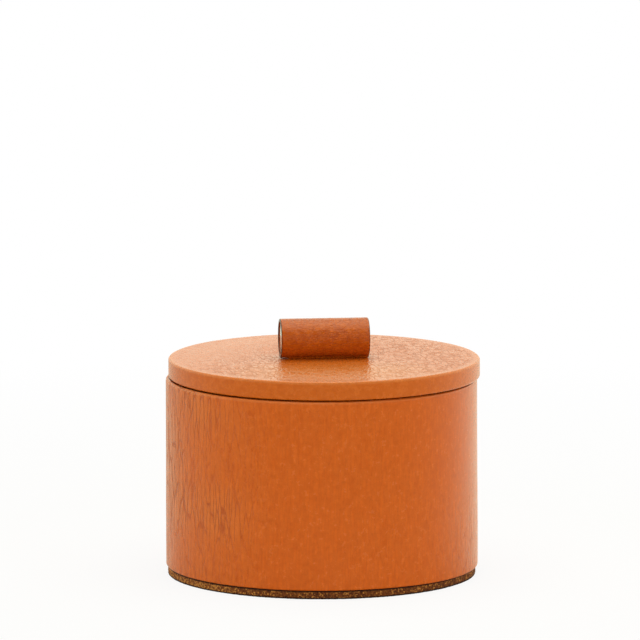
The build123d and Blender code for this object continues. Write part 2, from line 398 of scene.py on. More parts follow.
@dataclass(frozen=True)
class PressedGranules(Finish):
    """Cork granules pressed into a board and cut.

    They give the eye a rough edge, speckled tan to dark brown, with a line of painted shade along its top and
    foot.
    """

    colours: tuple[str, str, str] = ("#472108", "#7d4417", "#c0823b")
    # Colour of the painted shade along the edge's top and foot
    edge_shade_colour: str = "#2c1405"
    granule_mm: float = 0.6
    depth: float = 0.15 * MM
    thickness: float = 3.9 * MM
    radius: float = 69 * MM
    # Width of the painted shade along the edge's top and foot
    shade_band: float = 0.5 * MM
    # How much paler the board grows towards its left
    paler: float = 0.3
    specular: float = 0.2

    def paint(self, tree: Tree, shader: Node) -> None:
        """Adds granules of several browns, and the line of painted shade.

        Args:
            tree: The material's nodes.
            shader: The surface shader that they feed.
        """
        place = add_node(tree, "TexCoord")["Object"]
        sizes = {"Vector": place, "Scale": per_metre(self.granule_mm)}
        granules = add_node(tree, "TexVoronoi", inputs=sizes)
        red, green, blue = add_node(tree, "SeparateColor", inputs={0: granules["Color"]})
        x, _, z = add_node(tree, "SeparateXYZ", inputs={0: place})
        half = self.thickness / 2
        from_middle = add_node(tree, "Math", {"operation": "SUBTRACT"}, {0: z, 1: half})[0]
        out = add_node(tree, "Math", {"operation": "ABSOLUTE"}, {0: from_middle})[0]
        away = from_axis(tree, place)
        spans = {
            "left": (x, -0.3 * self.radius, -0.9 * self.radius, self.paler),
            "edge": (out, half - 2.0 * self.shade_band, half - 0.8 * self.shade_band, 1.0),
            "rim": (away, self.radius - 3.0 * self.shade_band, self.radius - 2.0 * self.shade_band, 1.0),
        }
        on = {}
        for name, (value, start, end, most) in spans.items():
            span = {"Value": value, "From Min": start, "From Max": end, "To Max": most}
            on[name] = add_node(tree, "MapRange", SMOOTH, span)["Result"]
        brown = add_node(tree, "Math", inputs={0: red, 1: on["left"]})[0]
        bright = add_node(tree, "Math", inputs={0: green, 1: on["left"]})[0]
        span = {"Value": bright, "From Min": 0.7, "From Max": 1.0}
        glint = add_node(tree, "MapRange", inputs=span)["Result"]
        # Painted shade along the edge's top and foot, under the leather's overhang and against the floor
        edge_shade = add_node(tree, "Math", MULTIPLY, {0: on["edge"], 1: on["rim"]})[0]
        darkest, middle, lightest = self.colours
        colour = linear(darkest)
        for share, over in ((brown, middle), (glint, lightest), (edge_shade, self.edge_shade_colour)):
            coat = {FACTOR: share, COLOUR_A: colour, COLOUR_B: linear(over)}
            colour = add_node(tree, "Mix", MIX_COLOUR, coat)[COLOUR_OUT]
        dull = add_node(tree, "MapRange", inputs={"Value": blue, "To Min": 0.75, "To Max": 0.95})["Result"]
        relief = {"Distance": self.depth, "Height": granules["Distance"]}
        bump = add_node(tree, "Bump", {"invert": True}, relief)["Normal"]
        linked = {"Base Color": colour, "Roughness": dull, "Normal": bump}
        connect(tree, shader, linked | {"Specular IOR Level": self.specular})


@dataclass(frozen=True)
class FibreSheet(Finish):
    """Board or card of pressed wood fibre. It gives the eye a matt, faintly flecked surface."""

    colour: str
    fleck: str
    fibre_mm: float = 0.9
    depth: float = 0.04 * MM

    def paint(self, tree: Tree, shader: Node) -> None:
        """Adds flecks of fibre.

        Args:
            tree: The material's nodes.
            shader: The surface shader that they feed.
        """
        place = add_node(tree, "TexCoord")["Object"]
        felted = {"Vector": place, "Scale": per_metre(self.fibre_mm), "Detail": 4.0, "Distortion": 1.5}
        fibres = add_node(tree, "TexNoise", inputs=felted)["Fac"]
        span = {"Value": fibres, "From Min": 0.5, "From Max": 0.65}
        flecks = add_node(tree, "MapRange", inputs=span)["Result"]
        tones = {FACTOR: flecks, COLOUR_A: linear(self.colour), COLOUR_B: linear(self.fleck)}
        colour = add_node(tree, "Mix", MIX_COLOUR, tones)[COLOUR_OUT]
        dull = add_node(tree, "MapRange", inputs={"Value": fibres, "To Min": 0.7, "To Max": 0.95})["Result"]
        bump = add_node(tree, "Bump", inputs={"Distance": self.depth, "Height": fibres})["Normal"]
        connect(tree, shader, {"Base Color": colour, "Roughness": dull, "Normal": bump})


@dataclass(frozen=True)
class OpenCellFoam(Finish):
    """Polyurethane foam, cut. It gives the eye a pale matt surface pitted with cells, with painted shade in
    the pits.
    """

    colour: str = "#e6e4da"
    # Colour of the painted shade in the cells' pits
    pit_shade: str = "#b9b5a4"
    cell_mm: float = 0.8
    depth: float = 0.3 * MM
    roughness: float = 0.95

    def paint(self, tree: Tree, shader: Node) -> None:
        """Adds cells.

        Args:
            tree: The material's nodes.
            shader: The surface shader that they feed.
        """
        place = add_node(tree, "TexCoord")["Object"]
        sizes = {"Vector": place, "Scale": per_metre(self.cell_mm)}
        cells = add_node(tree, "TexVoronoi", inputs=sizes)["Distance"]
        tones = {FACTOR: cells, COLOUR_A: linear(self.pit_shade), COLOUR_B: linear(self.colour)}
        colour = add_node(tree, "Mix", MIX_COLOUR, tones)[COLOUR_OUT]
        bump = add_node(tree, "Bump", inputs={"Distance": self.depth, "Height": cells})["Normal"]
        connect(tree, shader, {"Base Color": colour, "Roughness": self.roughness, "Normal": bump})


@dataclass(frozen=True)
class Metal(Finish):
    """Turned or plated metal. It gives the eye a mirror that fine marks and slow waves soften."""

    colour: str
    wear_and_highlight: str
    roughness: float
    mark_mm: float
    depth: float
    spread: float = 0.3

    def paint(self, tree: Tree, shader: Node) -> None:
        """Adds marks and a faint uneven tone.

        Args:
            tree: The material's nodes.
            shader: The surface shader that they feed.
        """
        place = add_node(tree, "TexCoord")["Object"]
        fine = {"Vector": place, "Scale": per_metre(self.mark_mm), "Detail": 3.0}
        marks = add_node(tree, "TexNoise", inputs=fine)["Fac"]
        tones = {FACTOR: marks, COLOUR_A: linear(self.colour), COLOUR_B: linear(self.wear_and_highlight)}
        colour = add_node(tree, "Mix", MIX_COLOUR, tones)[COLOUR_OUT]
        low, high = self.roughness * (1 - self.spread), self.roughness * (1 + self.spread)
        dull = add_node(tree, "MapRange", inputs={"Value": marks, "To Min": low, "To Max": high})["Result"]
        bump = add_node(tree, "Bump", inputs={"Distance": self.depth, "Height": marks})["Normal"]
        connect(tree, shader, {"Base Color": colour, "Metallic": 1.0, "Roughness": dull, "Normal": bump})


# Turned meshes


@dataclass(frozen=True)
class Corner:
    """One corner of a section.

    Attributes:
        radius: Distance from the axis.
        height: Distance along the axis.
        rounding: Radius of the corner's arc.
        step: Spacing of the points on the run that follows the corner.
    """

    radius: float
    height: float
    rounding: float = 0.0
    step: float = 2 * MM


class Cap(Enum):
    """How an open section is closed at the axis."""

    PLATE = "one flat face"
    GRID = "a disc of small faces"


# Points this far from each end of a run keep a rounded edge's shading off the flat beside it
SUPPORT = 0.15 * MM
# Spacing of the points on faces that are never seen
HIDDEN_STEP = 8 * MM
# Keeps a division clear of 0
TINY = 1e-12
ARC_STEP = math.radians(15)


def unit(vector: np.ndarray) -> np.ndarray:
    """Gives the vector at a length of 1."""
    return vector / max(np.linalg.norm(vector), TINY)


def run_points(start: np.ndarray, end: np.ndarray, step: float) -> list[np.ndarray]:
    """Lays points on a straight run, without its two ends.

    Args:
        start: Where the run starts.
        end: Where it ends.
        step: The widest spacing.

    Returns:
        The points between the ends, with a support point near each.
    """
    length = float(np.linalg.norm(end - start))
    if length < 4 * SUPPORT:
        return []
    count = max(1, math.ceil((length - 2 * SUPPORT) / step))
    shares = (SUPPORT + (length - 2 * SUPPORT) * np.arange(count + 1) / count) / length
    return [start + (end - start) * s for s in shares]


def corner_arc(before: np.ndarray, at: np.ndarray, after: np.ndarray, rounding: float) -> list[np.ndarray]:
    """Rounds one corner.

    Args:
        before: The corner before it.
        at: The corner.
        after: The corner after it.
        rounding: Radius of the arc, or 0 for a sharp corner.

    Returns:
        The arc's points, or the corner alone.
    """
    if rounding <= 0:
        return [at]
    come, go = unit(at - before), unit(after - at)
    turn = math.atan2(come[0] * go[1] - come[1] * go[0], float(come @ go))
    start = at - come * rounding * math.tan(abs(turn) / 2)
    side = math.copysign(1.0, turn)
    centre = start + side * rounding * np.array([-come[1], come[0]])
    spoke = start - centre
    count = max(3, math.ceil(abs(turn) / ARC_STEP))
    points = []
    for angle in np.linspace(0, turn, count + 1):
        c, s = math.cos(angle), math.sin(angle)
        points.append(centre + np.array([c * spoke[0] - s * spoke[1], s * spoke[0] + c * spoke[1]]))
    return points


def section_points(corners: Sequence[Corner], closed: bool) -> np.ndarray:
    """Lays points along a section.

    Args:
        corners: Its corners, counter-clockwise.
        closed: Whether it joins up with its own start.

    Returns:
        One row for each point, with its radius and height.
    """
    at = [np.array([c.radius, c.height]) for c in corners]
    last = len(corners) - 1
    arcs = []
    for i, corner in enumerate(corners):
        ends_here = not closed and i in (0, last)
        rounding = 0.0 if ends_here else corner.rounding
        arcs.append(corner_arc(at[i - 1], at[i], at[(i + 1) % len(at)], rounding))
    points = []
    for i, corner in enumerate(corners):
        points += arcs[i]
        if closed or i < last:
            points += run_points(arcs[i][-1], arcs[(i + 1) % len(arcs)][0], corner.step)
    return np.array(points)


def disc_grid(count: int) -> np.ndarray:
    """Spreads a square grid evenly over a disc of radius 1.

    Args:
        count: Faces along one side of the square.

    Returns:
        The place of each grid point, in an array of (count + 1, count + 1, 2).
    """
    side = np.linspace(-1, 1, count + 1)
    a, b = np.meshgrid(side, side, indexing="ij")
    wide = np.abs(a) >= np.abs(b)
    radius = np.where(wide, a, b)
    safe = np.where(radius == 0, 1, radius)
    quarter = math.pi / 4
    angle = np.where(wide, quarter * b / safe, 2 * quarter - quarter * a / safe)
    return np.stack([radius * np.cos(angle), radius * np.sin(angle)], axis=-1)


def disc_rim(count: int) -> list[tuple[int, int]]:
    """Gives the grid points on the disc's rim, counter-clockwise from -45 degrees.

    Args:
        count: Faces along one side of the square.

    Returns:
        The row and column of each.
    """
    right = [(count, j) for j in range(count)]
    back = [(i, count) for i in range(count, 0, -1)]
    left = [(0, j) for j in range(count, 0, -1)]
    front = [(i, 0) for i in range(count)]
    return right + back + left + front


@dataclass
class Turning:
    """A closed mesh turned from one section round an upright axis.

    Attributes:
        corners: The section, counter-clockwise with the axis to its left.
        around: Count of points round the axis, a multiple of 4.
        start_cap: What closes the section's start, or None where the section closes on itself.
        end_cap: What closes its end.
        start_crown: How far the middle of the start's disc stands above its rim.
        end_crown: The same for the end's disc.
        angles: Angles of the points round the axis, where they aren't even.
    """

    corners: Sequence[Corner]
    around: int
    start_cap: Cap | None = None
    end_cap: Cap | None = None
    start_crown: float = 0.0
    end_crown: float = 0.0
    angles: np.ndarray | None = None
    points: list[np.ndarray] = field(default_factory=list)
    normals: list[np.ndarray] = field(default_factory=list)
    faces: list[Sequence[int]] = field(default_factory=list)

    def mesh(
        self, name: str, relief: Relief | None = None, place: Matrix = Matrix.Identity(4)
    ) -> bpy.types.Mesh:
        """Builds the mesh.

        Args:
            name: The mesh's name.
            relief: Gives how far each point moves out along its normal, from the points and the normals.
            place: Where the turned axis goes in the end.

        Returns:
            The mesh, shaded smooth.
        """
        self.turn_section()
        points, normals = np.concatenate(self.points), np.concatenate(self.normals)
        if relief:
            points = points + normals * relief(points, normals)[:, None]
        made = bpy.data.meshes.new(name)
        made.from_pydata(points.tolist(), [], self.faces)
        made.transform(place)
        made.shade_smooth()
        return made

    def turn_section(self) -> None:
        """Fills in the points, normals and faces."""
        closed = self.start_cap is None
        section = section_points(self.corners, closed)
        if closed:
            tangents = np.roll(section, -1, axis=0) - np.roll(section, 1, axis=0)
        else:
            tangents = np.gradient(section, axis=0)
        lengths = np.linalg.norm(tangents, axis=1, keepdims=True)
        tangents = tangents / np.maximum(lengths, TINY)
        angles = self.angles
        if angles is None:
            angles = -math.pi / 4 + np.arange(self.around) * 2 * math.pi / self.around
        count = len(angles)
        cos, sin = np.cos(angles), np.sin(angles)
        for (r, z), (tr, tz) in zip(section, tangents):
            self.points.append(np.stack([r * cos, r * sin, np.full(count, z)], axis=-1))
            self.normals.append(np.stack([tz * cos, tz * sin, np.full(count, -tr)], axis=-1))
        rings = np.arange(len(section) * count).reshape(len(section), count)
        if closed:
            rings = np.concatenate([rings, rings[:1]])
        lower, upper = rings[:-1], rings[1:]
        quads = np.stack([lower, np.roll(lower, -1, 1), np.roll(upper, -1, 1), upper], axis=-1)
        self.faces += quads.reshape(-1, 4).tolist()
        if not closed:
            self.close_end(self.start_cap, rings[0], section[0], self.start_crown, faces_down=True)
            self.close_end(self.end_cap, rings[-1], section[-1], self.end_crown, faces_down=False)

    def close_end(self, cap: Cap, ring: np.ndarray, rim: np.ndarray, crown: float, faces_down: bool) -> None:
        """Closes one end of an open section.

        Args:
            cap: What closes it.
            ring: The numbers of the points on its rim.
            rim: The rim's radius and height.
            crown: How far the disc's middle stands above the rim.
            faces_down: Whether its outside is its underside.
        """
        if cap is Cap.PLATE:
            self.faces.append(ring[::-1].tolist() if faces_down else ring.tolist())
            return
        count = len(ring) // 4
        unit_disc = disc_grid(count)
        inner = unit_disc[1:-1, 1:-1].reshape(-1, 2)
        first = sum(len(p) for p in self.points)
        numbers = np.zeros((count + 1, count + 1), int)
        for number, (i, j) in zip(ring, disc_rim(count)):
            numbers[i, j] = number
        numbers[1:-1, 1:-1] = first + np.arange(len(inner)).reshape(count - 1, count - 1)
        share = (inner**2).sum(axis=1)
        height = rim[1] + crown * (1 - share)
        self.points.append(np.column_stack([inner * rim[0], height]))
        up = -1.0 if faces_down else 1.0
        self.normals.append(np.tile([0.0, 0.0, up], (len(inner), 1)))
        a, b, c, d = numbers[:-1, :-1], numbers[1:, :-1], numbers[1:, 1:], numbers[:-1, 1:]
        order = [d, c, b, a] if faces_down else [a, b, c, d]
        self.faces += np.stack(order, axis=-1).reshape(-1, 4).tolist()


@dataclass(frozen=True)
class Ripple:
    """Smooth noise in a surface's relief.

    Attributes:
        reach_mm: How far one lump reaches along X, Y and Z.
        depth: How far the lumps stand out.
        seed: Picks another part of the noise.
        sink: How far the whole is let in, as a share of the depth.
    """

    reach_mm: Triple
    depth: float
    seed: float
    sink: float = 0.0

    def on(self, points: np.ndarray) -> np.ndarray:
        """Gives the relief at points, one row for each, in metres."""
        scaled = points / (np.array(self.reach_mm) * MM) + self.seed
        return (np.array([noise.noise(Vector(p)) for p in scaled]) - self.sink) * self.depth


def axis_distance(points: np.ndarray) -> np.ndarray:
    """Gives each point's distance from the upright axis."""
    return np.hypot(points[:, 0], points[:, 1])


def butt_seam(across: np.ndarray, half: float, side: np.ndarray) -> np.ndarray:
    """Gives the groove of a butt seam, 1 in its middle, on the side where the last argument is above 0."""
    return np.exp(-((across / half) ** 2)) * (side > 0)


def ease(values: np.ndarray, low: float, high: float) -> np.ndarray:
    """Rises smoothly from 0 at low to 1 at high, which may be below low."""
    share = np.clip((values - low) / (high - low), 0, 1)
    return share * share * (3 - 2 * share)


# Pieces of the object


@dataclass
class SubAssembly:
    """Pieces that are built and dressed together, and move with one body."""

    body: str

    def add(
        self, mesh: bpy.types.Mesh, finish: Finish, slot: str, replaces: Sequence[str] = ()
    ) -> bpy.types.Object:
        """Adds one piece.

        Args:
            mesh: Its mesh, named as the piece.
            finish: Its finish.
            slot: A material slot's name; not used.
            replaces: The CAD nodes that it stands for.

        Returns:
            The new object.
        """
        piece = bpy.data.objects.new(mesh.name, mesh)
        bpy.context.scene.collection.objects.link(piece)
        piece.data.materials.append(finish.material())
        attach(piece, self.body)
        if replaces:
            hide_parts(*replaces)
        log.info("%s rides on %s, with %d faces", piece.name, self.body, len(mesh.polygons))
        return piece

    def dress(self, nodes: Sequence[str], finish: Finish) -> None:
        """Gives CAD nodes whose shape is right a finish.

        Args:
            nodes: Their names.
            finish: The finish.
        """
        material = finish.material()
        for name in nodes:
            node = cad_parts[name]
            node.data.materials.clear()
            node.data.materials.append(material)
            log.info("%s keeps its shape, in %s", name, finish.label)


def half_width(node: str) -> float:
    """Gives half of a CAD node's width along X, in metres."""
    low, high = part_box(node)
    return (high.x - low.x) / 2


# The loose lid's cover lies this far off level, with its front up
LID_TILT = math.radians(-0.2)

BOARD = FibreSheet("fibreboard", colour="#b39576", fleck="#8f7456")
CARD = FibreSheet("grey_card", colour="#bcad99", fleck="#9d8f7c", fibre_mm=0.6)


@dataclass(frozen=True)
class WallCowhide(Cowhide):
    """The hide round the box.

    Its creases stand upright, and are strong on the left and low on the right. Its rim carries a painted
    highlight, and painted shade where the lid's edge covers it.
    """

    radius: float = 70 * MM
    top: float = 89 * MM
    lid_middle: float = 0.0
    # How strong the painted shade on the rim under the lid's edge is, at the front and at the sides
    gap_shade: tuple[float, float] = (0.2, 0.7)
    # How creased the hide is between its left and its right
    between: float = 0.12

    def marks(self, tree: Tree, place: Socket) -> Marks:
        """Says where the hide is marked.

        Args:
            tree: The material's nodes.
            place: Where each point is, in metres.

        Returns:
            The marks, with the painted shade on the rim among the cut edges.
        """
        x, _, z = add_node(tree, "SeparateXYZ", inputs={0: place})
        away = from_axis(tree, place, self.lid_middle)
        spans = {
            "left": (x, -0.35 * self.radius, -0.9 * self.radius, 1.0),
            "right": (x, 0.6 * self.radius, 0.95 * self.radius, 0.4),
            "low": (z, 0.7 * self.top, 0.25 * self.top, 1.0),
            # Painted highlight along the rim's rounding, just under the gap
            "rim_highlight": (z, self.top - 1.3 * MM, self.top - 0.8 * MM, 0.15),
            "high": (z, self.top - 0.6 * MM, self.top - 0.3 * MM, 1.0),
            "covered": (away, self.radius + 0.1 * MM, self.radius - 0.3 * MM, 1.0),
            "outer": (away, self.radius - 3.0 * MM, self.radius - 2.0 * MM, 1.0),
        }
        on = {}
        for name, (value, start, end, most) in spans.items():
            span = {"Value": value, "From Min": start, "From Max": end, "To Max": most}
            on[name] = add_node(tree, "MapRange", SMOOTH, span)["Result"]
        low_right = add_node(tree, "Math", MULTIPLY, {0: on["right"], 1: on["low"]})[0]
        sides = add_node(tree, "Math", inputs={0: on["left"], 1: low_right})[0]
        somewhere = add_node(tree, "Math", inputs={0: sides, 1: self.between})[0]
        creased = add_node(tree, "Math", MULTIPLY, {0: somewhere, 1: self.patches(tree, place)})[0]

        # Painted shade on the rim where the lid's edge covers it, stronger at the sides
        at_front, at_sides = self.gap_shade
        aside = add_node(tree, "Math", {"operation": "ABSOLUTE"}, {0: x})[0]
        span = {"Value": aside, "From Min": 0.3 * self.radius, "From Max": 0.9 * self.radius}
        span |= {"To Min": at_front, "To Max": at_sides}
        strength = add_node(tree, "MapRange", inputs=span)["Result"]
        ring = add_node(tree, "Math", MULTIPLY, {0: on["covered"], 1: on["outer"]})[0]
        rim = add_node(tree, "Math", MULTIPLY, {0: on["high"], 1: ring})[0]
        gap_shaded = add_node(tree, "Math", MULTIPLY, {0: rim, 1: strength})[0]
        return Marks(creased, wear_and_highlight=on["rim_highlight"], cut=gap_shaded)


@dataclass(frozen=True)
class LidCowhide(Cowhide):
    """The hide over the lid, from the shoulder: strongly pebbled on top, smoother at its left back and edge.

    It carries a painted highlight along its top edge, and painted light in a spot in front of the handle.
    """

    radius: float = 70 * MM
    top: float = 96 * MM
    middle: float = 0.0
    colour: str = "#c55c0b"
    pale: str = "#cf6610"
    shade_and_speck_colour: str = "#8a4612"
    roughness: float = 0.26
    ior: float = 1.45
    grain_mm: float = 2.4
    grain_depth: float = 0.13 * MM
    grain_edge: float = 0.22
    grain_shade: float = 0.5
    grain_roughness: float = 0.15
    # The pebbling is broken up by patches of this size
    break_mm: float = 4.5
    # The pebbling grows towards the right, and this much as fast towards the front
    slant: float = 0.8
    crease_depth: float = 0.12 * MM
    crease_shade: float = 0.1
    creasing: float = 0.08
    ridge_highlight: float = 0.0
    # Strength of the painted highlight along the top edge
    edge_highlight: float = 0.2
    # Painted light lies in a spot in front of the handle, this strong and this wide and deep, in radii of the
    # lid
    painted_light: float = 0.34
    light_spot: tuple[float, float] = (0.8, 0.6)
    light_ahead: float = 0.65
    speck_stain: float = 0.05

    def marks(self, tree: Tree, place: Socket) -> Marks:
        """Says where the hide is marked.

        Args:
            tree: The material's nodes.
            place: Where each point is, in metres.

        Returns:
            The marks.
        """
        x, y, z = add_node(tree, "SeparateXYZ", inputs={0: place})
        away = from_axis(tree, place, self.middle)
        front_right = add_node(tree, "Math", MULTIPLY_ADD, {0: y, 1: -self.slant, 2: x})[0]
        spot = Vector(self.light_spot) * self.radius
        to_spot = (-self.middle / spot.x, self.light_ahead * self.radius / spot.y, 0.0)
        shrunk = {0: place, 1: (1 / spot.x, 1 / spot.y, 0.0), 2: to_spot}
        across = add_node(tree, "VectorMath", MULTIPLY_ADD, shrunk)["Vector"]
        from_spot = add_node(tree, "VectorMath", LENGTH, {0: across})["Value"]
        spans = {
            "high": (z, self.top - 1.3 * MM, self.top - 0.7 * MM, 0.0, self.edge_highlight),
            "out": (away, self.radius - 2.5 * MM, self.radius - 0.9 * MM, 0.0, 1.0),
            "painted_light": (from_spot, 1.1, 0.2, 0.0, self.painted_light),
            "pebbled": (front_right, -0.95 * self.radius, -0.15 * self.radius, 0.2, 1.0),
            "flat": (away, self.radius - 1.5 * MM, self.radius - 5 * MM, 0.0, 1.0),
        }
        on = {}
        for name, (value, start, end, least, most) in spans.items():
            span = {"Value": value, "From Min": start, "From Max": end, "To Min": least, "To Max": most}
            on[name] = add_node(tree, "MapRange", SMOOTH, span)["Result"]
        # Painted highlight along the top edge, and painted light in front of the handle, on top only
        edge = add_node(tree, "Math", MULTIPLY, {0: on["high"], 1: on["out"]})[0]
        halfway = {0: on["high"], 1: self.edge_highlight / 2}
        above = add_node(tree, "Math", {"operation": "GREATER_THAN"}, halfway)[0]
        front = add_node(tree, "Math", MULTIPLY, {0: on["painted_light"], 1: above})[0]
        wear_and_highlight = add_node(tree, "Math", {"operation": "MAXIMUM"}, {0: edge, 1: front})[0]

        uneven = {"Vector": place, "Scale": per_metre(self.break_mm), "Detail": 2.0}
        folds = add_node(tree, "TexNoise", inputs=uneven)["Fac"]
        span = {"Value": folds, "From Min": 0.36, "From Max": 0.56, "To Min": 0.25}
        broken = add_node(tree, "MapRange", inputs=span)["Result"]
        lying = add_node(tree, "Math", MULTIPLY, {0: on["pebbled"], 1: on["flat"]})[0]
        grained = add_node(tree, "Math", MULTIPLY, {0: lying, 1: broken})[0]
        return replace(super().marks(tree, place), grained=grained, wear_and_highlight=wear_and_highlight)


@dataclass(frozen=True)
class RollCowhide(Cowhide):
    """The hide of the roll. It is finely grained along the roll, and dark at its two cut ends."""

    middle: float = 0.0
    half: float = 20 * MM
    # The roll's hide is set browner and darker than the wall's, partly as painted shade
    colour: str = "#ae4d0a"
    pale: str = "#c5600f"
    grain_mm: float = 0.9
    grain_depth: float = 0.04 * MM
    crease_mm: float = 1.8
    crease_depth: float = 0.05 * MM
    crease_shade: float = 0.25
    ridge_highlight: float = 0.0
    speck_stain: float = 0.35

    def marks(self, tree: Tree, place: Socket) -> Marks:
        """Says where the hide is marked.

        Args:
            tree: The material's nodes.
            place: Where each point is, in metres.

        Returns:
            The marks, with the cut edge at both ends.
        """
        x = add_node(tree, "SeparateXYZ", inputs={0: place})[0]
        along = add_node(tree, "Math", {"operation": "SUBTRACT"}, {0: x, 1: self.middle})[0]
        out = add_node(tree, "Math", {"operation": "ABSOLUTE"}, {0: along})[0]
        ends = {"Value": out, "From Min": self.half - 0.45 * MM, "From Max": self.half - 0.2 * MM}
        cut = add_node(tree, "MapRange", SMOOTH, ends)["Result"]
        return replace(super().marks(tree, place), cut=cut)


@dataclass
class Box(SubAssembly):
    """The round box: board tube and floor, leather, pad and lining."""

    body: str = "box"
    leather: float = 1.1 * MM
    suede: float = 0.8 * MM
    rim_round: float = 1.5 * MM
    mouth_round: float = 0.6 * MM
    foot_round: float = 0.8 * MM
    turn_under: float = 12 * MM
    pad_chamfer: float = 0.25 * MM
    seam_half: float = 0.35 * MM
    seam_depth: float = 0.45 * MM
    seam_points: int = 17
    glue_line: float = 0.1 * MM
    around: int = 600
    pad_around: int = 640
    waves: Ripple = Ripple((30, 30, 45), 0.1 * MM, 3.1, sink=0.8)
    folds: Ripple = Ripple((4, 4, 22), 0.05 * MM, 7.7)
    # What is left of the folds away from the left
    least_folds: float = 0.3
    seam_wander: Ripple = Ripple((9, 9, 9), 0.08 * MM, 2.4)
    granules: Ripple = Ripple((0.8, 0.8, 0.8), 1.0, 1.3)
    lining_waves: Ripple = Ripple((18, 18, 25), 0.06 * MM, 5.5, sink=1.0)
    granule_depth: float = 0.14 * MM
    underside_depth: float = 0.05 * MM
    # The tube stands a little wider at its lower right, and the pad is cut a little wide at its right
    lean: float = 0.45 * MM
    pad_wide: float = 0.3 * MM

    def __post_init__(self) -> None:
        """Reads the sizes that the frame holds."""
        low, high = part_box("body_leather")
        self.radius, self.foot, self.rim = half_width("body_leather"), low.z, high.z
        self.mouth = half_width("wall_lining") - self.suede
        self.lining_foot, self.turn_foot = (corner.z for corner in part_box("wall_lining"))
        self.pad_radius = half_width("base_pad")
        lid_low, lid_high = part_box("lid_leather")
        self.lid_middle = (lid_low.x + lid_high.x) / 2

    def build(self) -> None:
        """Builds and dresses every piece."""
        self.add_leather()
        self.add_pad()
        self.add_lining()
        self.dress(["body_tube", "body_floor"], BOARD)
        self.dress(["base_infill"], CARD)

    def seam_angles(self) -> np.ndarray:
        """Places points round the axis, close together at the seam at the back.

        Returns:
            The angles, in order.
        """
        half_turn = 4 * self.seam_half / self.radius
        near = math.pi / 2 + np.linspace(-half_turn, half_turn, self.seam_points)
        rest = np.linspace(near[-1], near[0] + 2 * math.pi, self.around - len(near) + 2)[1:-1]
        return np.concatenate([near, rest])

    def leather_relief(self, points: np.ndarray, normals: np.ndarray) -> np.ndarray:
        """Shapes the leather: slow waves, creases and the butt seam at the back.

        Args:
            points: The points on the plain shape.
            normals: Their normals.

        Returns:
            How far each point moves out.
        """
        outside = ease(axis_distance(points), self.radius - self.leather, self.radius)
        creased = self.least_folds + ease(points[:, 0], -0.2 * self.radius, -0.8 * self.radius)
        right = ease(points[:, 0], 0.2 * self.radius, 0.9 * self.radius)
        lean = self.lean * right * ease(points[:, 2], self.rim, self.foot)
        groove = butt_seam(points[:, 0] + self.seam_wander.on(points), self.seam_half, points[:, 1])
        moved = self.waves.on(points) + self.folds.on(points) * creased + lean
        return outside * (moved - groove * self.seam_depth)

    def add_leather(self) -> None:
        """Builds the leather round the box, over its rim and under its bottom."""
        inside = self.radius - self.leather - self.glue_line
        strip_back = self.mouth + self.suede
        under = self.radius - self.turn_under
        corners = [
            Corner(under, self.foot, 0.15 * MM, 2 * MM),
            Corner(self.radius, self.foot, self.foot_round, 1.3 * MM),
            Corner(self.radius, self.rim, self.rim_round, 0.9 * MM),
            Corner(self.mouth, self.rim, self.mouth_round, 1.2 * MM),
            Corner(self.mouth, self.turn_foot, 0.2 * MM, HIDDEN_STEP),
            Corner(strip_back, self.turn_foot, 0.0, HIDDEN_STEP),
            Corner(strip_back, self.rim - self.leather, 0.0, HIDDEN_STEP),
            Corner(inside, self.rim - self.leather, 0.0, HIDDEN_STEP),
            Corner(inside, self.foot + self.leather, 0.0, HIDDEN_STEP),
            Corner(under, self.foot + self.leather, 0.0, HIDDEN_STEP),
        ]
        turning = Turning(corners, self.around, angles=self.seam_angles())
        mesh = turning.mesh("body_leather_cover", self.leather_relief)
        finish = WallCowhide(
            "cowhide_wall", Lie.UP_THE_WALL, radius=self.radius, top=self.rim, lid_middle=self.lid_middle
        )
        self.add(mesh, finish, "leather", ["body_leather"])

    def pad_relief(self, points: np.ndarray, normals: np.ndarray) -> np.ndarray:
        """Roughens the pad's cut edge with granules, and its underside a little.

        Args:
            points: The points on the plain shape.
            normals: Their normals.

        Returns:
            How far each point moves out, never below 0 at the underside.
        """
        edge = np.abs(normals[:, 2]) < 0.9
        granules = self.granules.on(points)
        wide = self.pad_wide * ease(points[:, 0], 0.8 * self.pad_radius, self.pad_radius)
        face = (np.abs(granules) - 1) * self.underside_depth
        rough = np.where(edge, wide + granules * self.granule_depth, face)
        room = np.where(normals[:, 2] < -0.01, points[:, 2] / np.maximum(-normals[:, 2], 0.01), 1.0)
        return np.minimum(rough, room)

    def add_pad(self) -> None:
        """Builds the granular pad under the box."""
        low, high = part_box("base_pad")
        inner = self.pad_radius - 1 * MM
        corners = [
            Corner(inner, low.z, 0.0, 0.6 * MM),
            Corner(self.pad_radius, low.z, self.pad_chamfer, 0.45 * MM),
            Corner(self.pad_radius, high.z, self.pad_chamfer, 0.6 * MM),
            Corner(inner, high.z),
        ]
        turning = Turning(corners, self.pad_around, Cap.GRID, Cap.PLATE)
        mesh = turning.mesh("base_pad_granular", self.pad_relief)
        finish = PressedGranules("pressed_granules", thickness=high.z - low.z, radius=self.pad_radius)
        self.add(mesh, finish, "cork_pad", ["base_pad"])

    def lining_relief(self, points: np.ndarray, normals: np.ndarray) -> np.ndarray:
        """Gives the lining slow waves and its butt seam at the back.

        Args:
            points: The points on the plain shape.
            normals: Their normals.

        Returns:
            How far each point moves out, never through the wall behind it.
        """
        inside = 1 - ease(axis_distance(points), self.mouth, self.mouth + self.suede)
        groove = butt_seam(points[:, 0], self.seam_half, points[:, 1])
        return inside * (self.lining_waves.on(points) - groove * self.suede / 2)

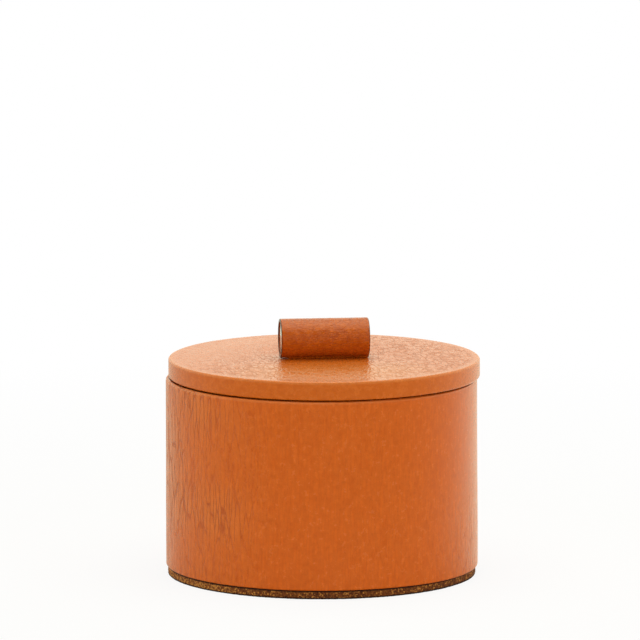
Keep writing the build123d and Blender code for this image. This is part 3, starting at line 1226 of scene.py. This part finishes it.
    def add_lining(self) -> None:
        """Builds the suede glued round the inside of the wall."""
        back = self.mouth + self.suede
        corners = [
            Corner(self.mouth, self.lining_foot, 0.1 * MM, 1 * MM),
            Corner(back, self.lining_foot, 0.0, 8 * MM),
            Corner(back, self.turn_foot, 0.0, 1 * MM),
            Corner(self.mouth, self.turn_foot, 0.25 * MM, 2 * MM),
        ]
        turning = Turning(corners, self.around, angles=self.seam_angles())
        mesh = turning.mesh("wall_lining_suede", self.lining_relief)
        self.add(mesh, Suede("brushed_suede_wall"), "suede", ["wall_lining"])


@dataclass(frozen=True)
class Swelling:
    """How a slack cover swells over its filling, in a cloth simulation.

    Attributes:
        voxel: Size of the remeshed cover's faces.
        pressure: Push of the filling from inside.
        frames: Steps of the simulation.
        cap: The furthest that a point may move.
    """

    voxel: float = 3 * MM
    pressure: float = 4.0
    frames: int = 20
    cap: float = 1.5 * MM

    def swell(self, slack: bpy.types.Mesh, pinned_below: float) -> bpy.types.Mesh:
        """Swells a closed mesh.

        Args:
            slack: The cover before its filling pushes it out.
            pinned_below: Points under this height are held.

        Returns:
            The swollen mesh, with one subdivision.
        """
        remesh = self.applied(slack, self.remesh)
        start = points_of(remesh)
        swollen = self.applied(remesh, lambda piece: self.simulate(piece, pinned_below))
        moved = points_of(swollen) - start
        far = np.linalg.norm(moved, axis=1, keepdims=True)
        share = np.minimum(1, self.cap / np.maximum(far, TINY))
        remesh.vertices.foreach_set("co", (start + moved * share).ravel())
        return self.applied(remesh, self.subdivide)

    def applied(self, mesh: bpy.types.Mesh, modify: Callable[[bpy.types.Object], None]) -> bpy.types.Mesh:
        """Runs a modifier on a mesh and takes the result.

        Args:
            mesh: The mesh.
            modify: Adds the modifier to an object that holds the mesh.

        Returns:
            A new mesh with the modifier applied.
        """
        scene = bpy.context.scene
        piece = bpy.data.objects.new("swelling", mesh)
        scene.collection.objects.link(piece)
        modify(piece)
        ready = piece.evaluated_get(bpy.context.evaluated_depsgraph_get())
        made = bpy.data.meshes.new_from_object(ready)
        bpy.data.objects.remove(piece)
        scene.frame_set(1)
        return made

    def remesh(self, piece: bpy.types.Object) -> None:
        """Gives the piece even faces.

        Args:
            piece: The piece.
        """
        even = piece.modifiers.new("even", "REMESH")
        even.mode = "VOXEL"
        even.voxel_size = self.voxel

    def subdivide(self, piece: bpy.types.Object) -> None:
        """Smooths the piece by one subdivision."""
        piece.modifiers.new("smooth", "SUBSURF").levels = 1

    def simulate(self, piece: bpy.types.Object, pinned_below: float) -> None:
        """Blows the piece up, from inside.

        Args:
            piece: The piece.
            pinned_below: Points under this height are held.
        """
        held = piece.vertex_groups.new(name="held")
        heights = points_of(piece.data)[:, 2]
        held.add(np.flatnonzero(heights < pinned_below).tolist(), 1.0, "REPLACE")
        cloth = piece.modifiers.new("cloth", "CLOTH")
        cloth.settings.use_pressure = True
        cloth.settings.uniform_pressure_force = self.pressure
        cloth.settings.effector_weights.gravity = 0.0
        cloth.settings.vertex_group_mass = held.name
        for step in range(1, self.frames + 1):
            bpy.context.scene.frame_set(step)


def points_of(mesh: bpy.types.Mesh, value: str = "co") -> np.ndarray:
    """Gives a mesh's points, or their normals.

    Args:
        mesh: The mesh.
        value: What is read: "co" for the points' places, "normal" for their normals.

    Returns:
        One row for each point.
    """
    flat = np.empty(3 * len(mesh.vertices))
    mesh.vertices.foreach_get(value, flat)
    return flat.reshape(-1, 3)


@dataclass
class Cushion(SubAssembly):
    """The padded floor: suede over foam on a card disc."""

    body: str = "box"
    suede: float = 0.8 * MM
    play: float = 0.1 * MM
    slack: float = 0.9 * MM
    shoulder: float = 3 * MM
    shoulder_rise: float = 0.5 * MM
    turn: float = 10 * MM
    edge: float = 7.5 * MM
    around: int = 240
    pleat_depth: float = 0.25 * MM
    pleats: int = 72
    pleat_wander: Ripple = Ripple((14, 14, 14), 2.5, 4.4)
    # What is within this height of the cover's foot counts as its underside
    underside: float = 0.4 * MM

    def __post_init__(self) -> None:
        """Reads the sizes that the frame holds."""
        low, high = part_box("cushion_suede")
        self.radius, self.foot, self.top = half_width("cushion_suede"), low.z, high.z
        self.foam_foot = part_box("cushion_foam")[0].z

    def build(self) -> None:
        """Builds and dresses every piece."""
        swollen = Swelling().swell(self.slack_cover(), self.foot + self.underside)
        self.settle(swollen)
        self.add_foam(swollen)
        self.add_cover(swollen)
        self.dress(["cushion_card"], CARD)

    def slack_cover(self) -> bpy.types.Mesh:
        """Makes the cover before it swells.

        Returns:
            A closed, crowned disc, a little smaller than the cover.
        """
        radius = self.radius - self.slack
        shoulder_top = self.foot + self.edge
        corners = [
            Corner(radius - 2 * self.shoulder, self.foot, 0.0, 2 * MM),
            Corner(radius, self.foot, 1.0 * MM, 1.5 * MM),
            Corner(radius, shoulder_top, self.shoulder, 1.5 * MM),
            Corner(radius - 2 * self.shoulder, shoulder_top + self.shoulder_rise),
        ]
        crown = self.top - self.slack - shoulder_top - self.shoulder_rise
        turning = Turning(corners, self.around, Cap.GRID, Cap.GRID, end_crown=crown)
        return turning.mesh("slack_cover")

    def settle(self, mesh: bpy.types.Mesh) -> None:
        """Keeps the swollen cover inside its place, pleats its edge and flattens its underside.

        Args:
            mesh: The swollen cover, which is changed.
        """
        points = points_of(mesh)
        outer = self.radius - self.play
        distance = axis_distance(points)
        angle = np.arctan2(points[:, 1], points[:, 0])
        low = ease(points[:, 2], self.foot + 8 * MM, self.foot + 1 * MM)
        side = ease(distance, outer - 2.5 * MM, outer) * low
        uneven = self.pleats * angle + self.pleat_wander.on(points)
        pleat = np.abs(np.sin(uneven)) ** 3 * self.pleat_depth * side
        wanted = np.minimum(distance, outer) - pleat
        points[:, :2] *= (wanted / np.maximum(distance, TINY))[:, None]
        under = points[:, 2] < self.foot + self.underside
        points[:, 2] = np.where(under, self.foot, np.clip(points[:, 2], self.foot, self.top))
        mesh.vertices.foreach_set("co", points.ravel())
        mesh.update()

    def add_foam(self, swollen: bpy.types.Mesh) -> None:
        """Builds the foam, which fills the cover above the card.

        Args:
            swollen: The cover's outside.
        """
        mesh = swollen.copy()
        mesh.name = "cushion_foam_pad"
        inset = self.suede + self.play
        points = points_of(mesh) - points_of(mesh, "normal") * inset
        points[:, 2] = np.maximum(points[:, 2], self.foam_foot + 0.05 * MM)
        mesh.vertices.foreach_set("co", points.ravel())
        mesh.shade_smooth()
        piece = self.add(mesh, OpenCellFoam("cut_foam"), "foam", ["cushion_foam"])

    def add_cover(self, swollen: bpy.types.Mesh) -> None:
        """Builds the suede, which is swollen over the foam and turned under the card.

        Args:
            swollen: The cover's outside.
        """
        shell = bmesh.new()
        shell.from_mesh(swollen)
        hidden = [
            face
            for face in shell.faces
            if face.calc_center_median().z < self.foot + 0.1 * MM
            and face.calc_center_median().xy.length < self.radius - self.turn
        ]
        bmesh.ops.delete(shell, geom=hidden, context="FACES")
        bmesh.ops.solidify(shell, geom=shell.faces[:], thickness=self.suede)
        bmesh.ops.recalc_face_normals(shell, faces=shell.faces[:])
        mesh = bpy.data.meshes.new("cushion_suede_cover")
        shell.to_mesh(mesh)
        shell.free()
        mesh.shade_smooth()
        piece = self.add(mesh, Suede("brushed_suede_cushion"), "suede", ["cushion_suede"])


@dataclass
class Lid(SubAssembly):
    """The lid: a board disc under leather, with a suede-covered plug."""

    body: str = "lid"
    leather: float = 1.1 * MM
    suede: float = 0.8 * MM
    top_round: float = 1.0 * MM
    under_round: float = 1.1 * MM
    fullness: float = 0.5 * MM
    turn_under: float = 12 * MM
    glue_line: float = 0.1 * MM
    around: int = 600
    plug_around: int = 400
    waves: Ripple = Ripple((24, 24, 24), 0.07 * MM, 4.2, sink=0.6)
    pucker_wander: Ripple = Ripple((12, 12, 12), 3.0, 8.8)
    puckers: int = 64
    pucker_depth: float = 0.3 * MM
    plug_waves: Ripple = Ripple((14, 14, 14), 0.1 * MM, 6.1, sink=0.7)
    plug_pleats: Ripple = Ripple((2.5, 2.5, 12), 0.06 * MM, 9.4)

    def __post_init__(self) -> None:
        """Reads the sizes that the frame holds."""
        low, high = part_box("lid_leather")
        self.radius, self.foot, self.top = half_width("lid_leather"), low.z, high.z
        self.centre_x = (low.x + high.x) / 2
        self.handle_half = half_width("handle_leather")
        plug_low, plug_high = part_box("plug_suede")
        self.plug_radius = half_width("plug_suede")
        self.plug_foot, self.plug_top = plug_low.z, plug_high.z

    def build(self) -> None:
        """Builds and dresses every piece."""
        self.add_leather()
        self.add_plug_cover()
        self.dress(["lid_board", "lid_plug"], BOARD)
        self.dress(["lid_infill"], CARD)

    def place(self) -> Matrix:
        """Gives the loose lid's place, a little tilted.

        Returns:
            The move from the world's axis to the lid's own.
        """
        middle = Matrix.Translation((0, 0, (self.foot + self.top) / 2))
        tilt = middle @ Matrix.Rotation(LID_TILT, 4, "X") @ middle.inverted()
        return Matrix.Translation((self.centre_x, 0, 0)) @ tilt

    def leather_relief(self, points: np.ndarray, normals: np.ndarray) -> np.ndarray:
        """Shapes the leather: slow waves on top, and pleats where it is turned under.

        Args:
            points: The points on the plain shape.
            normals: Their normals.

        Returns:
            How far each point moves out.
        """
        distance = axis_distance(points)
        angle = np.arctan2(points[:, 1], points[:, 0])
        board = self.radius - self.leather
        under = points[:, 2] < self.foot + 0.3 * self.leather
        over = points[:, 2] > self.top - 0.3 * self.leather
        outer = over | (distance > board + 0.3 * self.leather)
        from_handle = np.hypot(np.maximum(np.abs(points[:, 0]) - self.handle_half, 0), points[:, 1])
        waves = self.waves.on(points) * ease(from_handle, 2 * MM, 8 * MM)
        # The leather is a little full between the handle and the edge
        risen = ease(distance, 0.3 * self.radius, 0.6 * self.radius)
        full = self.fullness * risen * ease(distance, self.radius, 0.66 * self.radius)
        pucker = np.abs(np.sin(angle * self.puckers + self.pucker_wander.on(points))) ** 4
        inward = ease(distance, self.radius - 1.5 * MM, self.radius - self.turn_under)
        return waves * (outer & ~under) + full * over - pucker * inward * self.pucker_depth * under

    def add_leather(self) -> None:
        """Builds the leather over the lid and under its edge."""
        inside = self.radius - self.leather - self.glue_line
        under = self.radius - self.turn_under
        flat = self.radius - 2.5 * MM
        corners = [
            Corner(under, self.top - self.leather, 0.0, HIDDEN_STEP),
            Corner(inside, self.top - self.leather, 0.0, HIDDEN_STEP),
            Corner(inside, self.foot + self.leather, 0.0, HIDDEN_STEP),
            Corner(under, self.foot + self.leather, 0.0, HIDDEN_STEP),
            Corner(under, self.foot, 0.2 * MM, 1 * MM),
            Corner(self.radius, self.foot, self.under_round, 0.8 * MM),
            Corner(self.radius, self.top, self.top_round, 0.7 * MM),
            Corner(flat, self.top),
        ]
        turning = Turning(corners, self.around, Cap.PLATE, Cap.GRID)
        mesh = turning.mesh("lid_leather_cover", self.leather_relief, self.place())
        finish = LidCowhide(
            "cowhide_lid", Lie.ACROSS_THE_LID, radius=self.radius, top=self.top, middle=self.centre_x
        )
        self.add(mesh, finish, "leather", ["lid_leather"])

    def plug_relief(self, points: np.ndarray, normals: np.ndarray) -> np.ndarray:
        """Gives the plug's suede slow waves, and small pleats on its edge.

        Args:
            points: The points on the plain shape.
            normals: Their normals.

        Returns:
            How far each point moves out.
        """
        outside = axis_distance(points) > self.plug_radius - 0.5 * self.suede
        face = points[:, 2] < self.plug_foot + 0.3 * self.suede
        return self.plug_waves.on(points) * (outside | face) + self.plug_pleats.on(points) * outside

    def add_plug_cover(self) -> None:
        """Builds the suede over the plug's face and edge."""
        inside = self.plug_radius - self.suede
        flat = self.plug_radius - 2.5 * MM
        corners = [
            Corner(flat, self.plug_foot, 0.0, 0.8 * MM),
            Corner(self.plug_radius, self.plug_foot, 1.2 * MM, 0.8 * MM),
            Corner(self.plug_radius, self.plug_top, 0.15 * MM, 0.8 * MM),
            Corner(inside, self.plug_top, 0.0, HIDDEN_STEP),
            Corner(inside, self.plug_foot + self.suede, 0.0, HIDDEN_STEP),
            Corner(flat - 1 * MM, self.plug_foot + self.suede),
        ]
        turning = Turning(corners, self.plug_around, Cap.GRID, Cap.PLATE)
        mesh = turning.mesh("plug_suede_cover", self.plug_relief, self.place())
        self.add(mesh, Suede("brushed_suede_plug"), "suede", ["plug_suede"])


@dataclass
class Handle(SubAssembly):
    """The handle: a metal rod in a roll of leather, held by two screws."""

    body: str = "lid"
    leather: float = 1.4 * MM
    left_round: float = 0.3 * MM
    right_round: float = 0.8 * MM
    seam_half: float = 0.3 * MM
    seam_depth: float = 0.25 * MM
    sole: float = math.radians(14)
    sole_edge: float = math.radians(22)
    around: int = 200
    waves: Ripple = Ripple((9, 9, 14), 0.06 * MM, 2.9, sink=0.6)

    def __post_init__(self) -> None:
        """Reads the sizes that the frame holds."""
        low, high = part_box("handle_leather")
        self.length = high.x - low.x
        self.radius = (high.z - low.z) / 2
        self.centre = (low + high) / 2
        self.foot_drop = low.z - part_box("lid_leather")[1].z

    def build(self) -> None:
        """Builds and dresses every piece."""
        self.add_roll()
        polished = Metal(
            "polished_nickel", colour="#e6e4e0", wear_and_highlight="#d8d4ce", roughness=0.12, mark_mm=2.0, depth=0.01 * MM
        )
        self.dress(["handle_core"], polished)
        zinc = Metal(
            "zinc_plate", colour="#cfd2d4", wear_and_highlight="#b4b8ba", roughness=0.32, mark_mm=0.8, depth=0.02 * MM
        )
        self.dress(["handle_screws", "handle_washers"], zinc)

    def roll_relief(self, points: np.ndarray, normals: np.ndarray) -> np.ndarray:
        """Gives the roll slow waves, and presses its underside flat to the lid, with the butt seam in it.

        Args:
            points: The points on the plain shape, whose axis is still upright, with the underside at +X.
            normals: Their normals.

        Returns:
            How far each point moves out.
        """
        outside = ease(axis_distance(points), self.radius - 0.5 * self.leather, self.radius)
        turn = np.arctan2(points[:, 1], points[:, 0])
        # The roll's left end curls up off the lid
        pressed = ease(points[:, 2] + self.length / 2, 1 * MM, 5 * MM)
        sole = (1 - ease(np.abs(turn), self.sole, self.sole_edge)) * pressed
        flat = (self.radius + self.foot_drop) / np.maximum(np.cos(turn), 0.5) - self.radius
        groove = butt_seam(points[:, 1], self.seam_half, points[:, 0])
        return outside * (self.waves.on(points) * (1 - sole) + flat * sole - groove * self.seam_depth)

    def add_roll(self) -> None:
        """Builds the leather rolled round the rod."""
        half = self.length / 2
        bore = self.radius - self.leather
        corners = [
            Corner(bore, -half, 0.2 * MM, 0.4 * MM),
            Corner(self.radius, -half, self.left_round, 0.5 * MM),
            Corner(self.radius, half, self.right_round, 0.4 * MM),
            Corner(bore, half, 0.2 * MM, 4 * MM),
        ]
        # The upright axis turns to lie along X, and its +X side becomes the underside
        place = Matrix.Translation(self.centre) @ Matrix.Rotation(math.pi / 2, 4, "Y")
        turning = Turning(corners, self.around)
        mesh = turning.mesh("handle_leather_roll", self.roll_relief, place)
        finish = RollCowhide("cowhide_roll", Lie.ALONG_THE_ROLL, middle=self.centre.x, half=half)
        self.add(mesh, finish, "leather", ["handle_leather"])


# Studio


@dataclass
class Studio:
    """A white table between white walls, under a softbox and a dark ceiling, seen through a long lens."""

    azimuth: float = math.radians(-6.0)
    distance: float = 5.0
    height: float = 0.9126
    pitch: float = math.radians(9.066)
    sideways: float = -0.64 * MM
    lens: float = 634.5
    sensor: float = 36.0
    softbox_side: float = 1.0
    softbox_place: Triple = (0.07, -0.03, 0.9)
    softbox_watts: float = 6.9
    wall_light: float = 1.5
    # How bright the table and the walls look in a reflection: in front, and what the back adds at each side
    table_glow: Triple = (0.12, 0.7, 1.2)
    wall_glow: Triple = (0.08, 1.04, 1.52)
    ceiling_glow: float = 0.85
    # Between these heights of a direction the ceiling turns to wall, in its light and in its reflection
    light_edge: tuple[float, float] = (0.62, 0.38)
    glow_edge: tuple[float, float] = (0.85, 0.4)
    paper: str = "#fafafa"
    white: str = "#ffffff"
    warm_white: str = "#fffbe1"
    floor_radius: float = 10.0
    floor_hole: float = 67 * MM
    floor_drop: float = 0.05 * MM
    floor_rings: int = 24
    floor_around: int = 96
    # How much of the shadow shows, and how far out it fades
    shadow_share: float = 0.12
    shadow_end: tuple[float, float] = (0.2, 0.6)

    def build(self) -> None:
        """Sets up the camera, the lights, the floor and the view."""
        self.add_camera()
        self.add_softbox()
        self.add_world()
        self.add_floor()
        bpy.context.scene.view_settings.view_transform = "Standard"

    def add_camera(self) -> None:
        """Places the camera where the photograph was taken from."""
        camera = bpy.data.cameras.new("camera")
        camera.lens = self.lens
        camera.sensor_width = self.sensor
        camera.clip_end = 3 * self.floor_radius
        made = bpy.data.objects.new("camera", camera)
        right = Vector((math.cos(self.azimuth), math.sin(self.azimuth), 0))
        back = Vector((math.sin(self.azimuth), -math.cos(self.azimuth), 0))
        made.location = back * self.distance + right * self.sideways + Vector((0, 0, self.height))
        made.rotation_euler = (math.pi / 2 - self.pitch, 0, self.azimuth)
        bpy.context.scene.collection.objects.link(made)
        bpy.context.scene.camera = made

    def add_softbox(self) -> None:
        """Hangs the softbox over the object, a little to the right."""
        lamp = bpy.data.lights.new("softbox", "AREA")
        lamp.shape = "SQUARE"
        lamp.size = self.softbox_side
        lamp.energy = self.softbox_watts
        lamp.color = linear(self.warm_white)[:3]
        made = bpy.data.objects.new("softbox", lamp)
        made.location = self.softbox_place
        made.visible_camera = False
        bpy.context.scene.collection.objects.link(made)

    def surroundings(self, tree: Tree, way: Socket, glow: Triple) -> Socket:
        """Says how bright the studio looks in a reflection.

        Args:
            tree: The nodes of the world or the floor.
            way: The direction out from the object, at a length of 1.
            glow: The brightness in front, and what the back adds to it at the left and at the right.

        Returns:
            The brightness: dim in front, where the camera stands, and highest at the back right.
        """
        front, left, right = glow
        x, y, _ = add_node(tree, "SeparateXYZ", inputs={0: way})
        behind = add_node(tree, "MapRange", SMOOTH, {"Value": y, "From Min": -1.0, "From Max": 0.5})["Result"]
        span = {"Value": x, "From Min": -0.6, "From Max": 0.8, "To Min": left, "To Max": right}
        aside = add_node(tree, "MapRange", inputs=span)["Result"]
        return add_node(tree, "Math", MULTIPLY_ADD, {0: behind, 1: aside, 2: front})[0]

    def tone(self, tree: Tree, glossy: Socket) -> Socket:
        """Gives the studio's white, which is warm in a reflection."""
        tones = {FACTOR: glossy, COLOUR_A: linear(self.white), COLOUR_B: linear(self.warm_white)}
        return add_node(tree, "Mix", MIX_COLOUR, tones)[COLOUR_OUT]

    def add_world(self) -> None:
        """Makes the white walls and the dark ceiling, which show as plain white."""
        world = bpy.data.worlds.new("studio")
        bpy.context.scene.world = world
        world.use_nodes = True
        tree = world.node_tree
        path = add_node(tree, "LightPath")
        glossy = path["Is Glossy Ray"]
        way = add_node(tree, "TexCoord")["Generated"]
        up = add_node(tree, "SeparateXYZ", inputs={0: way})[2]
        start, end = self.light_edge
        span = {"Value": up, "From Min": start, "From Max": end, "To Max": self.wall_light}
        walls = add_node(tree, "MapRange", SMOOTH, span)["Result"]
        start, end = self.glow_edge
        span = {"Value": up, "From Min": start, "From Max": end, "To Min": self.ceiling_glow}
        low = add_node(tree, "MapRange", SMOOTH, span)["Result"]
        around = self.surroundings(tree, way, self.wall_glow)
        glow = add_node(tree, "Math", MULTIPLY, {0: around, 1: low})[0]
        reflected = add_node(tree, "Mix", inputs={FACTOR: glossy, VALUE_A: walls, VALUE_B: glow})[0]
        rays = {0: path["Is Camera Ray"], 1: path["Is Transmission Ray"]}
        shown = add_node(tree, "Math", {"operation": "MAXIMUM"}, rays)[0]
        strength = add_node(tree, "Mix", inputs={FACTOR: shown, VALUE_A: reflected, VALUE_B: 1.0})[0]
        connect(tree, tree.nodes["Background"], {"Color": self.tone(tree, glossy), "Strength": strength})

    def add_floor(self) -> None:
        """Lays the white floor, which keeps the object's soft shadow.

        It is open under the pad, where nothing shows, so that the underside is lit when seen from below.
        """
        count = self.floor_around
        radii = np.geomspace(self.floor_hole, self.floor_radius, self.floor_rings)
        angles = np.arange(count) * 2 * math.pi / count
        rings = [np.stack([r * np.cos(angles), r * np.sin(angles), 0 * angles], axis=-1) for r in radii]
        numbers = np.arange(len(radii) * count).reshape(len(radii), count)
        inner, outer = numbers[:-1], numbers[1:]
        faces = np.stack([inner, outer, np.roll(outer, -1, 1), np.roll(inner, -1, 1)], axis=-1)
        mesh = bpy.data.meshes.new("floor")
        mesh.from_pydata(np.concatenate(rings).tolist(), [], faces.reshape(-1, 4).tolist())
        floor = bpy.data.objects.new("floor", mesh)
        floor.location.z = -self.floor_drop
        bpy.context.scene.collection.objects.link(floor)
        mesh.materials.append(self.floor_material())

    def floor_material(self) -> bpy.types.Material:
        """Makes the floor's white, plain to the eye beyond the shadow, and clear from below.

        Returns:
            The material.
        """
        made = bpy.data.materials.new("white_table")
        made.use_nodes = True
        tree = made.node_tree
        tree.nodes.remove(tree.nodes["Principled BSDF"])
        path = add_node(tree, "LightPath")
        glossy = path["Is Glossy Ray"]
        seen = add_node(tree, "Math", {"operation": "MAXIMUM"}, {0: path["Is Camera Ray"], 1: glossy})[0]
        place = add_node(tree, "TexCoord")["Object"]
        away = add_node(tree, "VectorMath", LENGTH, {0: place})["Value"]
        start, end = self.shadow_end
        span = {"Value": away, "From Min": start, "From Max": end, "To Min": 1 - self.shadow_share}
        plain = add_node(tree, "MapRange", inputs=span)["Result"]
        share = add_node(tree, "Math", MULTIPLY, {0: plain, 1: seen})[0]
        way = add_node(tree, "VectorMath", {"operation": "NORMALIZE"}, {0: place})["Vector"]
        around = self.surroundings(tree, way, self.table_glow)
        glow = add_node(tree, "Mix", inputs={FACTOR: glossy, VALUE_A: 1.0, VALUE_B: around})[0]
        paper = add_node(tree, "BsdfDiffuse", inputs={"Color": linear(self.paper)})[0]
        white = add_node(tree, "Emission", inputs={"Color": self.tone(tree, glossy), "Strength": glow})[0]
        lit = add_node(tree, "MixShader", inputs={0: share, 1: paper, 2: white})[0]
        clear = add_node(tree, "BsdfTransparent")[0]
        below = add_node(tree, "NewGeometry")["Backfacing"]
        sided = add_node(tree, "MixShader", inputs={0: below, 1: lit, 2: clear})[0]
        connect(tree, tree.nodes["Material Output"], {"Surface": sided})
        return made


def main() -> None:
    """Builds the object and its studio."""
    logging.basicConfig(level=logging.INFO)
    for part in (Box(), Cushion(), Lid(), Handle()):
        part.build()
    Studio().build()


if __name__ == "__main__":
    main()
